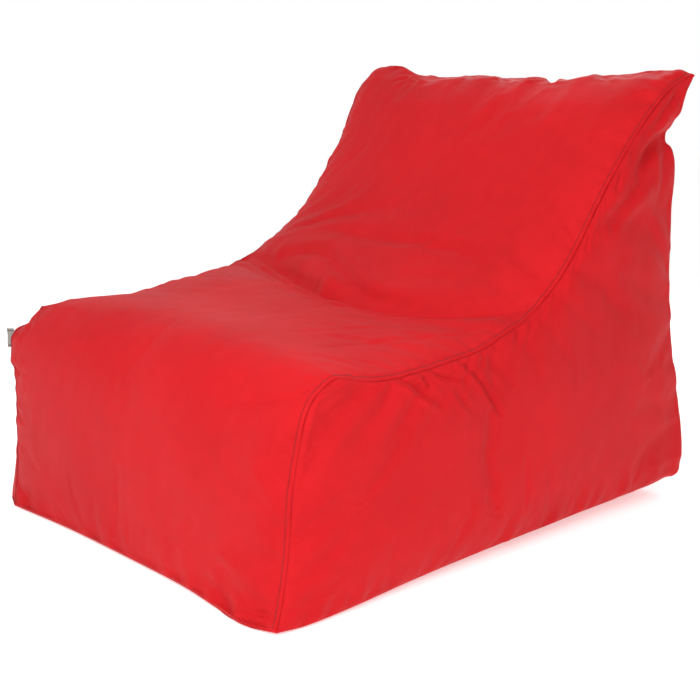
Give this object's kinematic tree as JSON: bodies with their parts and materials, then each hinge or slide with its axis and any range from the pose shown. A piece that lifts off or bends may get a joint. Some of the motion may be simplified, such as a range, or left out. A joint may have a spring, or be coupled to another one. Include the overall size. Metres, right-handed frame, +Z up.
{
  "type": "bean bag chair",
  "caption": "Red lounge-shaped bean bag chair with a low seat and a sloping backrest, a zipped cover over a zipped inner liner with a bead fill.",
  "frame": {"origin": "centre of the base, on the floor", "axes": "+Z up, the seat front faces -Y, X is across the width, and a person sitting in the chair has -X on the right-hand side"},
  "size_m": [0.8308, 0.9666, 0.8006],
  "materials": {
    "cover_fabric": "matte",
    "cover_thread": "matte",
    "label_ribbon": "matte",
    "cover_zip_tape": "matte",
    "cover_zip_coil": "satin",
    "zip_metal": "satin",
    "liner_fabric": "matte",
    "liner_zip_tape": "matte",
    "liner_zip_coil": "satin",
    "bead_fill": "matte"
  },
  "bodies": {
    "chair": {"front_seat_back_panel": "cover_fabric", "left_side_panel": "cover_fabric", "right_side_panel": "cover_fabric", "back_panel_upper": "cover_fabric", "back_panel_lower": "cover_fabric", "base_panel": "cover_fabric", "left_topstitch": "cover_thread", "right_topstitch": "cover_thread", "top_edge_stitch": "cover_thread", "label_tab": "label_ribbon", "cover_zip_tape_upper": "cover_zip_tape", "cover_zip_tape_lower": "cover_zip_tape", "cover_zip_coil_upper": "cover_zip_coil", "cover_zip_coil_lower": "cover_zip_coil", "cover_zip_top_stops": "zip_metal", "cover_zip_bottom_stop": "zip_metal", "liner_front_seat_back": "liner_fabric", "liner_left_side": "liner_fabric", "liner_right_side": "liner_fabric", "liner_back_upper": "liner_fabric", "liner_back_lower": "liner_fabric", "liner_base": "liner_fabric", "liner_zip_tape_upper": "liner_zip_tape", "liner_zip_tape_lower": "liner_zip_tape", "liner_zip_coil_upper": "liner_zip_coil", "liner_zip_coil_lower": "liner_zip_coil", "liner_zip_top_stops": "zip_metal", "liner_zip_bottom_stop": "zip_metal", "bead_fill": "bead_fill"},
    "cover_zip_slider": {"cover_zip_slider": "zip_metal"},
    "cover_zip_pull": {"cover_zip_pull": "zip_metal"},
    "liner_zip_slider": {"liner_zip_slider": "zip_metal"}
  },
  "joints": [
    {"name": "cover_zip_slide", "type": "slide", "parent": "chair", "child": "cover_zip_slider", "axis": [-1, 0, 0], "range_m": [0, 0.676]},
    {"name": "cover_zip_pull_hinge", "type": "hinge", "parent": "cover_zip_slider", "child": "cover_zip_pull", "pos_m": [0.338, 0.4838, 0.12], "axis": [0, 0, -1], "range_deg": [0, 180]},
    {"name": "liner_zip_slide", "type": "slide", "parent": "chair", "child": "liner_zip_slider", "axis": [-1, 0, 0], "range_m": [0, 0.676]}
  ]
}
